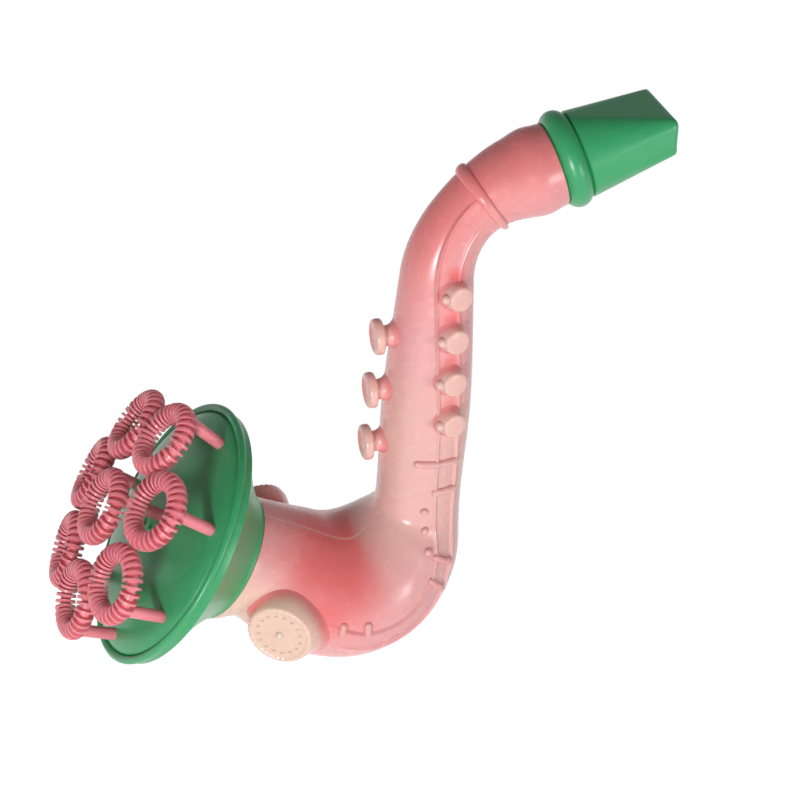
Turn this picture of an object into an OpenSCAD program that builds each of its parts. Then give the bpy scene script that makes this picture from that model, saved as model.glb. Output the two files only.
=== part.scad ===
// Saxophone-shaped bubble blower: a blown body tube, a push-on mouthpiece, and a bell whose
// face plate carries eight finned bubble wands. Millimetres, +Z up, the bell to -X.

/* [Path of the body tube] */
// Rise of the bell axis above the horizontal, in degrees
bell_elevation = 33; // [25:0.5:42]
// Lean of the straight tube from the vertical, in degrees
tube_lean = 4.4; // [0:0.2:10]
// Rise of the mouthpiece axis above the horizontal, in degrees
mouth_elevation = 16.5; // [8:0.5:28]
// Straight run of the neck between the bell collar and the bow
neck_run = 25; // [20:0.5:30]
// How far the bell's axis stands above the line of the neck
bell_lift = 0.9; // [0:0.1:3]
// How far the neck stands above that line, just behind the bell
neck_lift = 5.1; // [3:0.1:7]
// Bend radius of the bow at the bottom
bow_radius = 30; // [27:0.5:36]
// Length of the straight tube
tube_run = 90; // [80:1:110]
// Bend radius of the crook at the top
crook_radius = 37; // [32:0.5:46]
// Straight run of the cup below the mouthpiece
cup_run = 13.5; // [11:0.5:18]

/* [Radii of the body tube] */
// Outer radius halfway along the neck
neck_mid_r = 22; // [21.6:0.1:23]
// Outer radius where the neck runs into the bow
bow_start_r = 23.4; // [22:0.1:24]
// Largest outer radius, in the bow
bow_r = 22.6; // [21:0.1:24]
// Outer radius past the fullest part of the bow
bow_late_r = 21.6; // [20.6:0.1:22.4]
// Outer radius as the bow draws in
bow_end_r = 18.6; // [17.5:0.1:19.5]
// Width of the bow across, as a share of its thickness
bow_wide_share = 1.35; // [1:0.01:1.45]
// Radius of the soft curve on the inside of the bow
inner_bend_r = 12; // [9:0.5:14]
// Rise of the neck's upper line towards the bow, in degrees
neck_rise = 6.7; // [5:0.1:8]
// Outer radius at the foot of the tube
tube_foot_r = 15; // [14:0.1:16]
// Outer radius halfway up the tube
tube_r = 15.2; // [14:0.1:16]
// Outer radius at the head of the tube
tube_head_r = 12.5; // [12:0.1:14]
// Smallest outer radius, in the crook
crook_r = 11.2; // [10.5:0.1:12]
// Outer radius under the neck ring
ring_seat_r = 11.8; // [11:0.1:12.5]
// Outer radius where the cup begins
cup_start_r = 13.8; // [13:0.1:15]
// Largest outer radius of the cup
cup_r = 15; // [14:0.1:16]
// Outer radius at the end of the cup
cup_end_r = 14.2; // [13.8:0.1:14.8]
// Wall of the blown body
body_wall = 2; // [1.7:0.1:2.4]

/* [Raised forms of the body] */
// Height of the neck ring above the tube
neck_ring_h = 1.4; // [0.8:0.1:2]
// Width of the neck ring along the tube
neck_ring_w = 3.4; // [2.6:0.1:5]
// Half the distance between the two rails
rail_gap = 3.75; // [3:0.05:5]
// Height of a rail
rail_h = 0.9; // [0.5:0.1:1.4]
// Half the width of a rail
rail_half_w = 0.75; // [0.5:0.05:1]
// Radius of a key drum's face
drum_r = 4.4; // [3.8:0.1:5]
// Height of a key drum above the tube
drum_h = 5; // [3:0.1:6]
// Distance between key drums along the tube
drum_pitch = 15.4; // [13:0.1:17]
// Turn of the top key drum away from the rails, in degrees
drum_turn = 12; // [0:1:16]
// Radius of the ball lug beside a key drum
lug_r = 1.7; // [1.2:0.1:2]
// Radius of a stud's head
stud_r = 6.2; // [5:0.1:7]
// Thickness of a stud's head
stud_head_t = 3.4; // [2.6:0.1:4]
// Radius of a stud's neck
stud_neck_r = 3.5; // [2.6:0.1:4]
// Height of a stud above the tube
stud_h = 6.8; // [5.4:0.1:8]
// Distance between studs along the tube
stud_pitch = 20.2; // [17:0.1:23]
// Depth of the dish in a stud's head
stud_dish = 0.8; // [0.3:0.1:1.2]
// Radius of a round boss on the neck
boss_r = 11.2; // [9:0.1:12]
// Height of a round boss above the neck
boss_h = 6.4; // [4:0.1:8]
// Slope of a boss's wall, as the width that it gains at its root
boss_draft = 1.6; // [0.6:0.1:2.4]
// Radius of the small bars, the beads and the lever
bar_r = 1.4; // [1:0.1:2]
// Length of each half of the lever across the rails
lever_len = 7; // [5:0.5:9]

/* [Joints of the body] */
// Outer radius of the bell collar
collar_r = 23; // [22.4:0.1:24]
// Length of the neck journal inside the collar
journal_len = 8; // [6:0.5:9]
// Bore radius of the neck journal
journal_bore_r = 19.2; // [17:0.1:19.6]
// Step from the neck down to its journal
neck_shoulder = 1.1; // [0.8:0.1:1.3]
// Step from the cup down to its spigot
cup_shoulder = 1.3; // [0.8:0.1:1.4]
// Length of the spigot
spigot_len = 12; // [9:0.5:14]
// Bore radius of the spigot
spigot_bore_r = 10.4; // [9:0.1:11]
// Radial clearance of the sliding and turning fits
run_gap = 0.06; // [0.03:0.01:0.1]
// Gap left between two faces that turn on each other
face_gap = 0.3; // [0.2:0.05:0.5]

/* [Bell] */
// Outer radius of the rolled rim
rim_r = 47; // [46:0.1:50]
// Distance from the collar's end to the rim
bell_depth = 24.2; // [22:0.1:30]
// Straight length of the collar
collar_len = 1.5; // [1:0.1:3]
// Wall of the flare and of the collar
flare_wall = 1.5; // [1.2:0.1:2]
// Radius of the rim's rolled bead
rim_bead_r = 1.4; // [1.2:0.1:1.8]
// Height of the seat that the face plate drops into
seat_h = 2.6; // [2:0.1:3.4]
// Width of the ledge under the face plate
ledge_w = 1.6; // [1:0.1:2.4]
// Thickness of the face plate
plate_t = 1.8; // [1.4:0.1:2.4]
// Rise of the face plate's dome
dome_h = 7.2; // [5:0.1:9]
// Radius of the air outlets in the face plate
outlet_r = 1.4; // [1:0.1:1.8]
// Radius of the circle of air outlets
outlet_ring_r = 6; // [5:0.1:7]

/* [Wands] */
// Radius of a wand ring, to the middle of its tube
ring_r = 10.4; // [9:0.1:10.5]
// Radius of the fins' outline
fin_r = 3.4; // [3:0.1:3.5]
// Radius of the ring's core
core_r = 1.8; // [1.5:0.1:2.2]
// Thickness of a fin
fin_t = 0.9; // [0.7:0.05:1.1]
// Number of fins on a ring
fin_count = 30; // [24:1:34]
// Radius of a wand's post
post_r = 2.1; // [1.7:0.1:2.2]
// Radius of a wand's peg in the plate
peg_r = 1.5; // [1.2:0.1:1.6]
// Length of a wand's peg
peg_len = 5; // [4:0.1:6]
// Outward lean of the outer wands, in degrees
wand_lean = 13; // [10:0.5:16]
// Distance of the outer wands' feet from the face plate's edge
foot_inset = 5.2; // [4.8:0.1:5.6]
// Length of an outer wand's post, to the middle of its ring
outer_post_len = 16.4; // [15:0.1:18]
// Length of the middle wand's post, to the middle of its ring
middle_post_len = 19.4; // [17:0.1:22]
// Wall of a peg's socket
socket_wall = 1.5; // [1.2:0.1:1.8]

/* [Mouthpiece] */
// Outer radius of the mouthpiece's base
mouth_r = 15; // [14.4:0.1:16]
// Outer radius of the rolled bead
mouth_bead_r = 16.7; // [16.4:0.1:18]
// Width of the rolled bead
mouth_bead_w = 8.8; // [7:0.1:10]
// Length of the mouthpiece
mouth_len = 40.7; // [36:0.1:46]
// Width of the tip
tip_w = 30; // [26:0.5:32]
// Thickness of the tip
tip_t = 12.4; // [10:0.1:14]
// How far the upper lip stands past the lower one
tip_slant = 2.6; // [0:0.1:4]
// Corner radius of the tip
tip_corner_r = 2.4; // [1.4:0.1:3]
// Width of the air slot at the tip
slot_w = 21; // [18:0.5:23]
// Height of the air slot at the tip
slot_h = 5.4; // [4.6:0.1:6.4]

/* [Hidden] */
$fn = 64;

// One overrun serves every cut
overrun = 1;
// Depth that a raised form is rooted below the tube's surface
root = 1.2;
// Colours
pink = [0.93, 0.62, 0.60];
rose = [0.95, 0.50, 0.58];
green = [0.18, 0.70, 0.45];

// Headings of the three straight runs, in the plane of the tube
neck_heading = -bell_elevation;
tube_heading = 90 - tube_lean;
cup_heading = mouth_elevation;
function along(heading) = [cos(heading), 0, sin(heading)];
function outward(heading) = [sin(heading), 0, -cos(heading)];

// Stations along the path: the ends of the neck, the bow, the tube, the crook and the cup
function arc(radius, turn) = radius * turn * PI / 180;
s_bow = neck_run;
s_tube = s_bow + arc(bow_radius, tube_heading - neck_heading);
s_crook = s_tube + tube_run;
s_cup = s_crook + arc(crook_radius, tube_heading - cup_heading);
s_end = s_cup + cup_run;

// Heading and place of the centreline at a station; the bow's centre is the construction origin
tube_foot = bow_radius * outward(tube_heading);
tube_head = tube_foot + tube_run * along(tube_heading);
crook_centre = tube_head + crook_radius * outward(tube_heading);
cup_foot = crook_centre - crook_radius * outward(cup_heading);
function heading_at(s) =
    s < s_bow ? neck_heading :
    s < s_tube ? neck_heading + (s - s_bow) / arc(bow_radius, 1) :
    s < s_crook ? tube_heading :
    s < s_cup ? tube_heading - (s - s_crook) / arc(crook_radius, 1) : cup_heading;
function line_at(s) =
    s < s_bow ? bow_radius * outward(neck_heading) - (s_bow - s) * along(neck_heading) :
    s < s_tube ? bow_radius * outward(heading_at(s)) :
    s < s_crook ? tube_foot + (s - s_tube) * along(tube_heading) :
    s < s_cup ? crook_centre - crook_radius * outward(heading_at(s)) :
    cup_foot + (s - s_cup) * along(cup_heading);

// A smooth curve through knots of [station, value], with flat ends
function knot_index(s, knots, i = 0) =
    i >= len(knots) - 2 || s < knots[i + 1][0] ? i : knot_index(s, knots, i + 1);
function slope(knots, i) =
    i == 0 || i == len(knots) - 1 ? 0 :
    (knots[i + 1][1] - knots[i - 1][1]) / (knots[i + 1][0] - knots[i - 1][0]);
function hermite(t, a, b, ta, tb) =
    a * (1 + 2 * t) * (1 - t) ^ 2 + ta * t * (1 - t) ^ 2 + b * t ^ 2 * (3 - 2 * t) + tb * t ^ 2 * (t - 1);
function smooth(s, knots) =
    let (i = knot_index(s, knots), w = knots[i + 1][0] - knots[i][0],
         t = min(1, max(0, (s - knots[i][0]) / w)))
    hermite(t, knots[i][1], knots[i + 1][1], w * slope(knots, i), w * slope(knots, i + 1));
function station(from, to, share) = from + share * (to - from);

// The neck stands above its line, so that it steps down into the bow
lift_shares = [0.28, 0.56, 0.84, 1.2, 1.87];
lift_heights_shares = [1, 0.9, 0.66, 0.56];
lift_knots = [
    [0, bell_lift],
    for (k = [0 : 3]) [lift_shares[k] * neck_run, lift_heights_shares[k] * neck_lift],
    [lift_shares[4] * neck_run, 0], [s_end, 0],
];
function centre_at(s) = line_at(s) - smooth(s, lift_knots) * outward(heading_at(s));

// The pipes at the two ends sit below the skin, within its wall
journal_r = collar_r - flare_wall - run_gap;
neck_r = journal_r + neck_shoulder;
spigot_r = cup_end_r - cup_shoulder;

// Outer radius along the tube
bow_shares = [0.35, 0.58, 0.80];
ring_share = 0.73;
s_ring = station(s_crook, s_cup, ring_share);
radius_knots = [
    [0, neck_r],
    [station(0, s_bow, 1 / 2), neck_mid_r],
    [s_bow, bow_start_r],
    [station(s_bow, s_tube, bow_shares[0]), bow_r],
    [station(s_bow, s_tube, bow_shares[1]), bow_late_r],
    [station(s_bow, s_tube, bow_shares[2]), bow_end_r],
    [s_tube, tube_foot_r],
    [station(s_tube, s_crook, 1 / 2), tube_r],
    [s_crook, tube_head_r],
    [station(s_crook, s_cup, 1 / 2), crook_r],
    [s_ring, ring_seat_r],
    [s_cup, cup_start_r],
    [station(s_cup, s_end, 1 / 2), cup_r],
    [s_end, cup_end_r],
];
function skin_r(s) = smooth(s, radius_knots);
// The bow is wider across than it is thick: share of the radius that it has towards the near side
wide_steps_shares = [0.55, 1, 0.86, 0.43];
wide_knots = concat(
    [[0, 1], [s_bow, 1 + wide_steps_shares[0] * (bow_wide_share - 1)]],
    [for (k = [0 : 2])
        [station(s_bow, s_tube, bow_shares[k]), 1 + wide_steps_shares[k + 1] * (bow_wide_share - 1)]],
    [[s_tube, 1], [s_end, 1]]);
function wide_at(s) = smooth(s, wide_knots);

// The inside of the bow is one soft curve: the neck's upper line, an arc, then the tube's left line
left_share = 0.14;
first_share = 0.1;
top_heading = neck_heading + neck_rise;
s_left = station(s_tube, s_crook, left_share);
function rim_at(s, side) = centre_at(s) + side * skin_r(s) * outward(heading_at(s));
function crossed(u, v) = u[0] * v[2] - u[2] * v[0];
inner_gap = rim_at(s_left, -1) - rim_at(0, -1);
inner_sine = crossed(along(top_heading), along(tube_heading));
inner_tangent = inner_bend_r * tan((tube_heading - top_heading) / 2);
inner_arc = arc(inner_bend_r, tube_heading - top_heading);
neck_side = crossed(inner_gap, along(tube_heading)) / inner_sine - inner_tangent;
tube_side = crossed(along(top_heading), inner_gap) / inner_sine - inner_tangent;
inner_run = neck_side + inner_arc + tube_side;
inner_centre = rim_at(0, -1) + neck_side * along(top_heading) - inner_bend_r * outward(top_heading);
function inner_line(run) =
    run < neck_side ? rim_at(0, -1) + run * along(top_heading) :
    run < neck_side + inner_arc ?
        inner_centre + inner_bend_r * outward(top_heading + (run - neck_side) / arc(inner_bend_r, 1)) :
    rim_at(s_left, -1) - (inner_run - run) * along(tube_heading);
run_knots = [
    [-s_bow, -s_bow], [0, 0], [s_bow / 2, s_bow / 2],
    [station(s_bow, s_tube, first_share), neck_side],
    [station(s_bow, s_tube, 1 / 2), neck_side + inner_arc / 2],
    [s_left - tube_side, neck_side + inner_arc],
    [s_left, inner_run], [s_left + s_bow, inner_run + s_bow],
];
function inner_at(s) = s < s_left ? inner_line(smooth(s, run_knots)) : rim_at(s, -1);
function neck_ring(s) = neck_ring_h * sqrt(max(0, 1 - (2 * (s - s_ring) / neck_ring_w) ^ 2));

// The band of keys runs down the near side, from the neck ring round the bow to the boss.
// Its angle is measured from the near side towards the outside of the bends.
s_boss = station(0, s_bow, 0.8);
s_rail_end = s_boss + boss_r;
band_turns = [8, 15, 23, 2, -12];
band_places = [s_rail_end, station(s_bow, s_tube, bow_shares[0]), s_tube, s_crook, s_ring];
band_knots = [for (k = [0 : len(band_turns) - 1]) [band_places[k], band_turns[k]]];
function band_angle(s) = smooth(s, band_knots);
rail_fade = 2 * rail_gap;
function ramp(run) = min(1, max(0, run / rail_fade));
function fade(s) = ramp(s - s_rail_end) * ramp(s_ring - s);

// Section of the skin at a station: [angle, radius] pairs, with each rail as a ridge
plain_sides = 24;
function degrees_wide(width, s) = width / skin_r(s) * 180 / PI;
function section(s) =
    let (r = skin_r(s) + neck_ring(s), mid = band_angle(s), g = degrees_wide(rail_gap, s),
         w = degrees_wide(rail_half_w, s), rest = (360 - 2 * (g + w)) / plain_sides)
    [for (side = [-1, 1], k = [-1, 0, 1])
         [mid + side * g + k * w, r + (k == 0 ? rail_h * fade(s) : 0)],
     for (k = [1 : plain_sides - 1]) [mid + g + w + k * rest, r]];
function inner_section(s) = [for (q = section(s)) [q[0], skin_r(s) - body_wall]];
function place(s, polar) =
    let (inner = inner_at(s), across = (rim_at(s, 1) - inner) / 2, half = norm(across))
    inner + across + (half + polar[1] - skin_r(s)) * sin(polar[0]) * across / half
    - polar[1] * wide_at(s) * cos(polar[0]) * [0, 1, 0];

// A hollow tube through equal sections: the skin one way, the cavity back, and a flat ring at each end
module hollow_tube(rings) {
    n = len(rings[0]);
    count = len(rings);
    polyhedron(
        points = [for (ring = rings, p = ring) p],
        faces = [for (i = [0 : count - 1], k = [0 : n - 1], half = [0, 1])
            let (a = i * n + k, b = i * n + (k + 1) % n, c = (i + 1) % count * n + k,
                 d = (i + 1) % count * n + (k + 1) % n)
            half == 0 ? [a, c, b] : [b, c, d]],
        convexity = 10);
}

// Stations of the sections, closer together across the neck ring
skin_steps = 46;
cavity_steps = 26;
ring_steps = 6;
function spread(from, to, steps) = [for (i = [0 : steps]) station(from, to, i / steps)];
ring_from = s_ring - neck_ring_w / 2;
ring_to = s_ring + neck_ring_w / 2;
skin_stations = concat(
    spread(0, ring_from, skin_steps),
    [for (s = spread(ring_from, ring_to, ring_steps)) if (s > ring_from) s],
    [for (s = spread(ring_to, s_end, ring_steps)) if (s > ring_to) s]);
skin_rings = [for (s = skin_stations) [for (q = section(s)) place(s, q)]];
cavity_rings = [for (s = spread(s_end, 0, cavity_steps)) [for (q = inner_section(s)) place(s, q)]];

// Places on the tube: local +Z leaves the skin, local +X runs along the tube
module on_skin(s, angle) translate(place(s, [angle, skin_r(s)])) rotate([0, -heading_at(s), 0])
    rotate([90 + atan2(wide_at(s) * sin(angle), cos(angle)), 0, 0]) children();
// Axis frames: local +Z leaves the bell, or the mouthpiece
module at_bell() translate(centre_at(0)) rotate([0, bell_elevation - 90, 0]) children();
module at_mouth() translate(centre_at(s_end)) rotate([0, 90 - mouth_elevation, 0]) children();

// Raised forms of the body
drum_count = 4;
stud_count = 3;
s_drum = station(s_tube, s_crook, 0.48);
s_stud = station(s_tube, s_crook, 1 / 3);
drum_foot_r = drum_r + drum_h / 8;
edge_share = 0.2;
module drum() {
    edge = edge_share * drum_h;
    rotate_extrude() polygon([
        [0, -root], [drum_foot_r, -root], [drum_r, drum_h - edge], [drum_r - edge, drum_h], [0, drum_h]]);
    translate([0, drum_r, drum_h / 2]) sphere(r = lug_r);
}
module stud() {
    edge = edge_share * stud_head_t;
    neck_top = stud_h - stud_head_t;
    rotate_extrude() polygon([
        [0, -root], [stud_neck_r + edge, -root], [stud_neck_r, neck_top / 2], [stud_neck_r, neck_top],
        [stud_r - edge, neck_top], [stud_r, neck_top + edge], [stud_r, stud_h - edge],
        [stud_r - edge, stud_h],
        [stud_r - 2 * edge, stud_h - stud_dish], [0, stud_h - stud_dish]]);
}
// A boss is rooted below the neck's curve, and its face has a plain raised rim
boss_root = boss_r / 3;
boss_rim_share = 0.16;
module boss() {
    rim = boss_rim_share * boss_r;
    rotate_extrude() polygon([
        [0, -boss_root], [boss_r + boss_draft, -boss_root],
        [boss_r, boss_h - rim / 2], [boss_r - rim / 2, boss_h],
        [boss_r - rim, boss_h], [boss_r - rim, boss_h - rim / 4], [0, boss_h - rim / 4]]);
}
module bar(length) {
    rotate([90, 0, 0]) cylinder(r = bar_r, h = length, center = true);
    for (side = [-1, 1]) translate([0, side * length / 2, 0]) sphere(r = bar_r);
}
near_boss_angle = 17;
far_boss_angle = 192;
s_far_boss = station(0, s_bow, 0.58);
lever_angles = [-8, 20];
s_lever = s_tube + 2 * drum_pitch - drum_r;
bar_shares = [0.98, -0.65, -1.1];
bead_shares = [0.5, -0.17, -0.6];
arch_places = [s_rail_end + boss_r / 2, s_rail_end + 1.2 * boss_r];
module raised_forms() {
    for (i = [0 : drum_count - 1]) let (s = s_drum + i * drum_pitch)
        on_skin(s, band_angle(s) + drum_turn * (i / (drum_count - 1)) ^ 2) drum();
    for (i = [0 : stud_count - 1])
        translate(centre_at(s_stud + i * stud_pitch)) rotate([0, -90, 0])
            translate([0, 0, skin_r(s_stud + i * stud_pitch)]) stud();
    for (angle = lever_angles) on_skin(s_lever, angle) bar(lever_len);
    for (share = bar_shares) let (s = s_tube + share * drum_pitch)
        on_skin(s, band_angle(s)) bar(2 * rail_gap);
    for (share = bead_shares) let (s = s_tube + share * drum_pitch)
        on_skin(s, band_angle(s) - 2 * degrees_wide(rail_gap, s)) sphere(r = bar_r);
    for (s = arch_places) on_skin(s, 0) bar(2 * bar_r);
    on_skin(s_boss, near_boss_angle) boss();
    on_skin(s_far_boss, far_boss_angle) boss();
}

// A pipe that carries a push-on piece, rooted in the end of the tube's wall
module pipe(outer_r, bore_r, length) translate([0, 0, -2 * body_wall]) difference() {
    cylinder(r = outer_r, h = length + 2 * body_wall);
    translate([0, 0, -overrun]) cylinder(r = bore_r, h = length + 2 * body_wall + 2 * overrun);
}
module body_shell() color(pink) in_frame() {
    hollow_tube(concat(skin_rings, cavity_rings));
    raised_forms();
    at_bell() pipe(journal_r, journal_bore_r, journal_len);
    at_mouth() pipe(spigot_r, spigot_bore_r, spigot_len);
}

// Bell: the flare's outer curve leaves the collar along the axis and opens to the rim
edge_gap = rim_bead_r / 8;
seat_r = rim_r - 2 * rim_bead_r - edge_gap;
skirt_r = seat_r + flare_wall;
seat_z = bell_depth - seat_h;
skirt_z = seat_z - flare_wall;
flare_bend_shares = [0.29, 0.47];
flare_steps = 14;
flare_from = [collar_r, collar_len];
flare_to = [skirt_r, skirt_z];
flare_by = [for (k = [0, 1]) station(flare_from[k], flare_to[k], flare_bend_shares[k])];
function bezier(t, a, b, c) = (1 - t) ^ 2 * a + 2 * t * (1 - t) * b + t ^ 2 * c;
function bezier_dir(t, a, b, c) = let (d = (1 - t) * (b - a) + t * (c - b)) d / norm(d);
function flare_point(t) = bezier(t, flare_from, flare_by, flare_to);
function flare_inner(t) =
    let (d = bezier_dir(t, flare_from, flare_by, flare_to)) flare_point(t) + flare_wall * [-d[1], d[0]];
flare_times = [for (i = [0 : flare_steps]) i / flare_steps];
// Inside, the collar's bore runs on as a sleeve over the journal
inner_points = [for (t = flare_times) let (p = flare_inner(t))
    if (p[0] < seat_r - ledge_w && p[1] > journal_len + face_gap) p];
module bell_flare() color(green) in_frame() at_bell() {
    rotate_extrude() polygon(concat(
        [[collar_r - flare_wall, face_gap], [collar_r, face_gap]],
        [for (t = flare_times) flare_point(t)],
        [[skirt_r, bell_depth], [seat_r, bell_depth], [seat_r, seat_z], [seat_r - ledge_w, seat_z]],
        [for (i = [len(inner_points) - 1 : -1 : 0]) inner_points[i]],
        [[inner_points[0][0], journal_len + face_gap], [collar_r - flare_wall, journal_len + face_gap]]));
    rotate_extrude() translate([rim_r - rim_bead_r, bell_depth]) difference() {
        circle(r = rim_bead_r);
        translate([-2 * rim_bead_r, -rim_bead_r]) square([rim_bead_r, 2 * rim_bead_r]);
    }
}

// Face plate: an oval dome on a round edge that drops into the seat
plate_r = seat_r - run_gap;
function dome(r, to_r, height) = bell_depth + height * sqrt(max(0, 1 - (r / to_r) ^ 2));
function dome_z(r) = dome(r, plate_r, dome_h);
dome_steps = 20;
plate_skirt_r = plate_r - plate_t;
function dome_arc(to_r, height) =
    [for (a = spread(0, 90, dome_steps)) [to_r * sin(a), dome(to_r * sin(a), to_r, height)]];
module plate_blank() {
    under = dome_arc(plate_skirt_r, dome_h - plate_t);
    rotate_extrude() polygon(concat(
        dome_arc(plate_r, dome_h), [[plate_r, seat_z], [plate_skirt_r, seat_z]],
        [for (i = [dome_steps : -1 : 0]) under[i]]));
}

// Wands stand on flats sunk a little into the dome, and their pegs fill the sockets behind
flat_depth = 0.5;
peg_gap = 0.04;
foot_ring_r = plate_r - foot_inset;
outer_count = 7;
first_angle = 5;
middle_angle = 40;
function foot_z(r) = dome_z(r) - flat_depth;
function wand_angle(i) = first_angle + i * 360 / outer_count;
module at_foot(r, angle, lean)
    rotate([0, 0, -angle]) translate([r, 0, foot_z(r)]) rotate([0, lean, 0]) children();
module at_each_foot() {
    at_foot(ring_r, middle_angle, 0) children();
    for (i = [0 : outer_count - 1]) at_foot(foot_ring_r, wand_angle(i), wand_lean) children();
}
socket_r = peg_r + socket_wall;
outlet_count = 6;
module bell_face_plate() color(green) in_frame() at_bell() difference() {
    union() {
        plate_blank();
        at_each_foot() translate([0, 0, -peg_len]) cylinder(r = socket_r, h = peg_len);
    }
    at_each_foot() {
        cylinder(r = post_r + peg_gap, h = flat_depth + overrun);
        translate([0, 0, -peg_len - overrun]) cylinder(r = peg_r + peg_gap, h = peg_len + 2 * overrun);
    }
    translate([0, 0, seat_z]) cylinder(r = outlet_r, h = seat_h + dome_h + overrun);
    for (i = [0 : outlet_count - 1]) rotate([0, 0, (i + 1 / 2) * 360 / outlet_count - middle_angle])
        translate([outlet_ring_r, 0, seat_z]) cylinder(r = outlet_r, h = seat_h + dome_h + overrun);
}

// A wand: a peg, a post and a ring of round fins whose plane is square to the post
module wand(post_len) {
    translate([0, 0, -peg_len]) cylinder(r = peg_r, h = peg_len + overrun);
    cylinder(r = post_r, h = post_len);
    translate([-ring_r, 0, post_len]) {
        rotate_extrude() translate([ring_r, 0]) circle(r = core_r);
        for (i = [0 : fin_count - 1]) rotate([0, 0, i * 360 / fin_count])
            translate([ring_r, 0, 0]) rotate([90, 0, 0]) cylinder(r = fin_r, h = fin_t, center = true);
    }
}
module outer_wand(i) in_frame() at_bell()
    at_foot(foot_ring_r, wand_angle(i), wand_lean) wand(outer_post_len);
module wand_middle() color(rose)
    in_frame() at_bell() at_foot(ring_r, middle_angle, 0) wand(middle_post_len);
module wand_top() color(rose) outer_wand(0);
module wand_near_upper() color(rose) outer_wand(1);
module wand_near_lower() color(rose) outer_wand(2);
module wand_bottom_near() color(rose) outer_wand(3);
module wand_bottom_far() color(rose) outer_wand(4);
module wand_far_lower() color(rose) outer_wand(5);
module wand_far_upper() color(rose) outer_wand(6);

// Mouthpiece: a bead and a bore over the spigot, drawn out to a flat tip
mouth_bore_r = spigot_r + run_gap;
mouth_bore_len = spigot_len + face_gap;
throat_r = spigot_bore_r;
lip = tip_corner_r;
slot_corner_r = slot_h / 4;
module tip_corners(width, height, corner_r, length) {
    for (up = [-1, 1], side = [-1, 1])
        translate([up * (height / 2 - corner_r), side * (width / 2 - corner_r),
                   length - (1 + up) * tip_slant / 2 - lip])
            cylinder(r = corner_r, h = lip, $fn = 32);
}
module mouthpiece() color(green) in_frame() at_mouth() difference() {
    union() {
        hull() {
            translate([0, 0, mouth_bead_w / 2]) cylinder(r = mouth_r, h = mouth_bead_w / 2);
            tip_corners(tip_w, tip_t, tip_corner_r, mouth_len);
        }
        translate([0, 0, face_gap])
            cylinder(r = mouth_bead_r - mouth_bead_w / 4, h = mouth_bead_w - face_gap);
        translate([0, 0, mouth_bead_w / 2 + face_gap])
            rotate_extrude() translate([mouth_bead_r - mouth_bead_w / 2, 0]) circle(r = mouth_bead_w / 2);
    }
    cylinder(r = mouth_bore_r, h = mouth_bore_len);
    hull() {
        translate([0, 0, mouth_bore_len - overrun]) cylinder(r = throat_r, h = overrun, $fn = 32);
        tip_corners(slot_w, slot_h, slot_corner_r, mouth_len + overrun);
    }
}

// Frame: the lowest point of the bow at zero height, the middle of the length at zero
base_z = min([for (ring = skin_rings, p = ring) p[2]]);
bell_axis = -along(neck_heading);
dish_up = -outward(neck_heading);
function ring_axis(i) = cos(wand_lean) * bell_axis
    + sin(wand_lean) * (cos(wand_angle(i)) * dish_up - sin(wand_angle(i)) * [0, 1, 0]);
ring_radial = foot_ring_r + outer_post_len * sin(wand_lean) - ring_r * cos(wand_lean);
ring_height = foot_z(foot_ring_r) + outer_post_len * cos(wand_lean) + ring_r * sin(wand_lean);
function ring_reach(axis) = ring_r * sqrt(1 - axis[0] ^ 2) + fin_r;
function ring_left(i) = (centre_at(0) + ring_height * bell_axis
    + ring_radial * cos(wand_angle(i)) * dish_up)[0] - ring_reach(ring_axis(i));
middle_left = (centre_at(0) + (foot_z(ring_r) + middle_post_len) * bell_axis)[0] - ring_reach(bell_axis);
left_x = min(concat([middle_left], [for (i = [0 : outer_count - 1]) ring_left(i)]));
// The foremost point of the tip is the end of a lip, upper or lower
lip_lengths = [mouth_len, mouth_len - tip_slant];
lip_sides = [-1, 1];
right_x = centre_at(s_end)[0] + max([for (k = [0, 1])
    lip_lengths[k] * cos(mouth_elevation) + lip_sides[k] * tip_t / 2 * sin(mouth_elevation)]);
module in_frame() translate([-(left_x + right_x) / 2, 0, -base_z]) children();

body_shell();
mouthpiece();
bell_flare();
bell_face_plate();
wand_middle();
wand_top();
wand_near_upper();
wand_near_lower();
wand_bottom_near();
wand_bottom_far();
wand_far_lower();
wand_far_upper();
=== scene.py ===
"""Looks of a saxophone-shaped bubble blower: blown pink body, green mouthpiece and bell, rose wands."""

import logging
import math
from collections.abc import Callable, Sequence
from dataclasses import dataclass, field
from enum import Enum
from functools import cached_property
from typing import NamedTuple

import bmesh
import bpy
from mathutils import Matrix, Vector
from mathutils.kdtree import KDTree


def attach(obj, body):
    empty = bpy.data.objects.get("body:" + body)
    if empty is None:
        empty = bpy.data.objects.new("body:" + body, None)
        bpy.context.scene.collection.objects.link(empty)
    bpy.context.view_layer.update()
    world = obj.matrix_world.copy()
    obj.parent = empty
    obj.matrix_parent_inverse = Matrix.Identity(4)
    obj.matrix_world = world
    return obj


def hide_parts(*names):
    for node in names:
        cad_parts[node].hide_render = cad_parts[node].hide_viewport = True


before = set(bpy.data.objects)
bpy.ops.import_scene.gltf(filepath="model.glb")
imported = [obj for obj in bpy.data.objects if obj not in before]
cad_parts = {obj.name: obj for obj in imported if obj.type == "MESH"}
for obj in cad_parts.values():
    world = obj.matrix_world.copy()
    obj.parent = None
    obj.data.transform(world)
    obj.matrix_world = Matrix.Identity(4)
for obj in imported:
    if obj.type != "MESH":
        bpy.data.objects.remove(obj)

LOG = logging.getLogger("bubble_blower")
MM = 0.001
ACROSS = Vector((0, 1, 0))
Colour = tuple[float, float, float]
Ring = list[Vector]


class Ends(Enum):
    """How the first and last ring of a drawn-out piece are closed."""

    LAST = "last"
    BOTH = "both"
    JOINED = "joined"


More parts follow.
